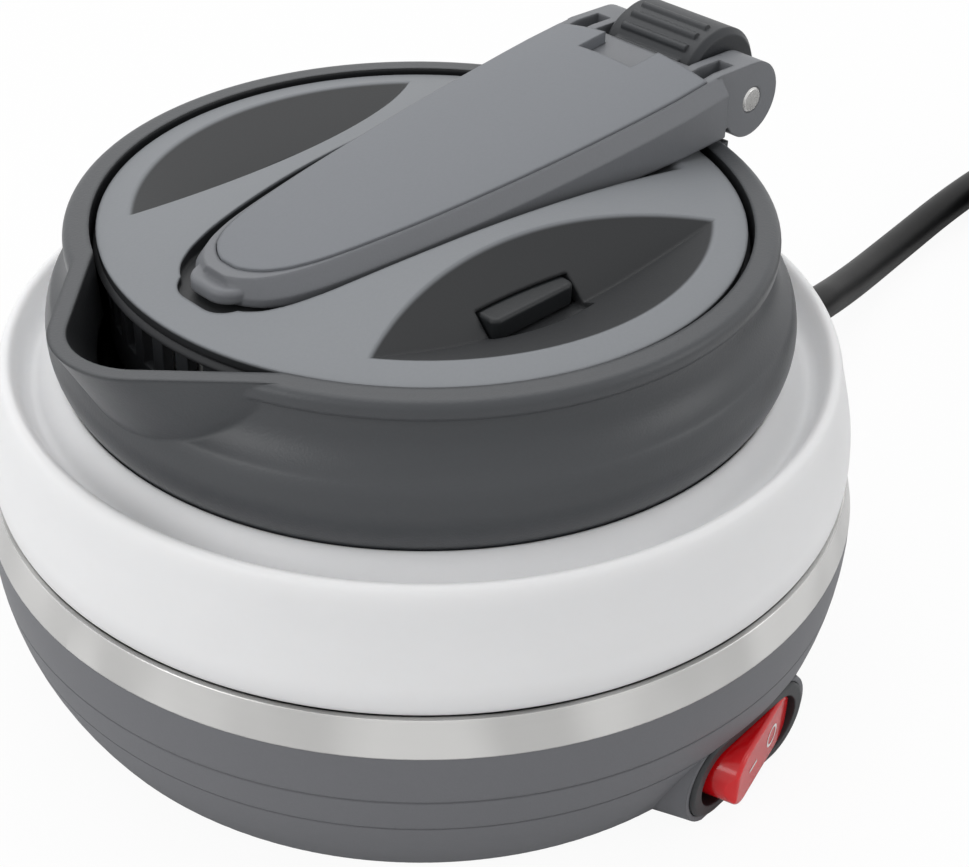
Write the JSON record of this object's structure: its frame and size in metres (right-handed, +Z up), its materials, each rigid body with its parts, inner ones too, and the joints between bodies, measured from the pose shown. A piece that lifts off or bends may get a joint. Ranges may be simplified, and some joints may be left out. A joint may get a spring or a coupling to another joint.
{
  "type": "collapsible electric kettle",
  "caption": "Collapsed travel kettle: folded silicone body between a steel-banded base and a pouring collar, latched lid, folded handle, rocker switch and mains cord with plug.",
  "frame": {"origin": "centre of the footprint at the table, on the upright axis of the round base, folded flat", "axes": "+Z up, +X to the rear where the cord and the handle's hinge are, the spout to -X, the switch to -Y"},
  "size_m": [0.3174, 0.1568, 0.0849],
  "materials": {
    "base_plastic": "fine satin grain",
    "collar_plastic": "fine satin grain",
    "lid_plastic": "fine satin grain",
    "latch_plastic": "satin",
    "handle_plastic": "satin",
    "pad_plastic": "fine satin grain",
    "bezel_plastic": "satin",
    "inner_plastic": "satin",
    "terminal_plastic": "satin",
    "fuse_cover": "woven sleeve",
    "tie_plastic": "satin",
    "rocker_red": "see-through gloss",
    "silicone": "soft matte, slightly see-through",
    "foot_rubber": "matte",
    "seal_rubber": "matte",
    "cord_rubber": "satin",
    "pan_steel": "brushed",
    "band_steel": "brushed",
    "element_steel": "dull",
    "mesh_steel": "satin",
    "pin_steel": "ground",
    "spring_steel": "drawn wire",
    "screw_steel": "plated",
    "plate_aluminium": "cast",
    "pin_brass": "plain"
  },
  "bodies": {
    "base": {"base_housing": "base_plastic", "bottom_cover": "base_plastic", "cover_screws": "screw_steel", "rubber_feet": "foot_rubber", "steel_pan": "pan_steel", "lower_clamp_ring": "band_steel", "heating_plate": "plate_aluminium", "heating_element": "element_steel", "thermostat": "inner_plastic", "thermal_fuse": "fuse_cover", "terminal_block": "terminal_plastic", "silicone_body": "silicone", "switch_bezel": "bezel_plastic", "switch_box": "inner_plastic", "cord_gland": "cord_rubber", "power_cord": "cord_rubber", "cord_coil": "cord_rubber", "cord_tie": "tie_plastic", "plug_body": "cord_rubber", "plug_pins": "pin_brass"},
    "collar": {"collar": "collar_plastic", "cuff_clamp_ring": "band_steel", "hinge_pin": "pin_steel", "lock_spring": "spring_steel"},
    "lock_button": {"lock_button": "collar_plastic"},
    "lid": {"lid_cover": "lid_plastic", "strainer_skirt": "lid_plastic", "strainer_mesh": "mesh_steel", "lid_seal": "seal_rubber", "lid_floor": "lid_plastic", "lid_screws": "screw_steel", "latch_spring_near": "spring_steel", "latch_spring_far": "spring_steel"},
    "latch_near": {"latch_near": "latch_plastic"},
    "latch_far": {"latch_far": "latch_plastic"},
    "handle": {"handle_frame": "handle_plastic", "handle_pad": "pad_plastic"},
    "rocker": {"rocker": "rocker_red"}
  },
  "joints": [
    {"name": "collar_lift", "type": "slide", "parent": "base", "child": "collar", "axis": [0, 0, 1], "range_m": [0, 0.048], "deforming": ["silicone_body"]},
    {"name": "handle_swing", "type": "hinge", "parent": "collar", "child": "handle", "pos_m": [0.054, 0, 0.0755], "axis": [0, 1, 0], "range_deg": [0, 195]},
    {"name": "lock_press", "type": "slide", "parent": "collar", "child": "lock_button", "axis": [0, 0, -1], "range_m": [0, 0.002], "stiffness_N_per_m": 400, "deforming": ["lock_spring"]},
    {"name": "lid_lift", "type": "slide", "parent": "collar", "child": "lid", "axis": [0, 0, 1], "range_m": [0, 0.0003]},
    {"name": "latch_near_squeeze", "type": "slide", "parent": "lid", "child": "latch_near", "axis": [0, 1, 0], "range_m": [0, 0.003], "stiffness_N_per_m": 500, "deforming": ["latch_spring_near"]},
    {"name": "latch_far_squeeze", "type": "slide", "parent": "lid", "child": "latch_far", "axis": [0, -1, 0], "range_m": [0, 0.003], "stiffness_N_per_m": 500, "deforming": ["latch_spring_far"]},
    {"name": "rocker_tip", "type": "hinge", "parent": "base", "child": "rocker", "pos_m": [0.00408, -0.05836, 0.008], "axis": [0, 0, -1], "range_deg": [0, 25]}
  ]
}
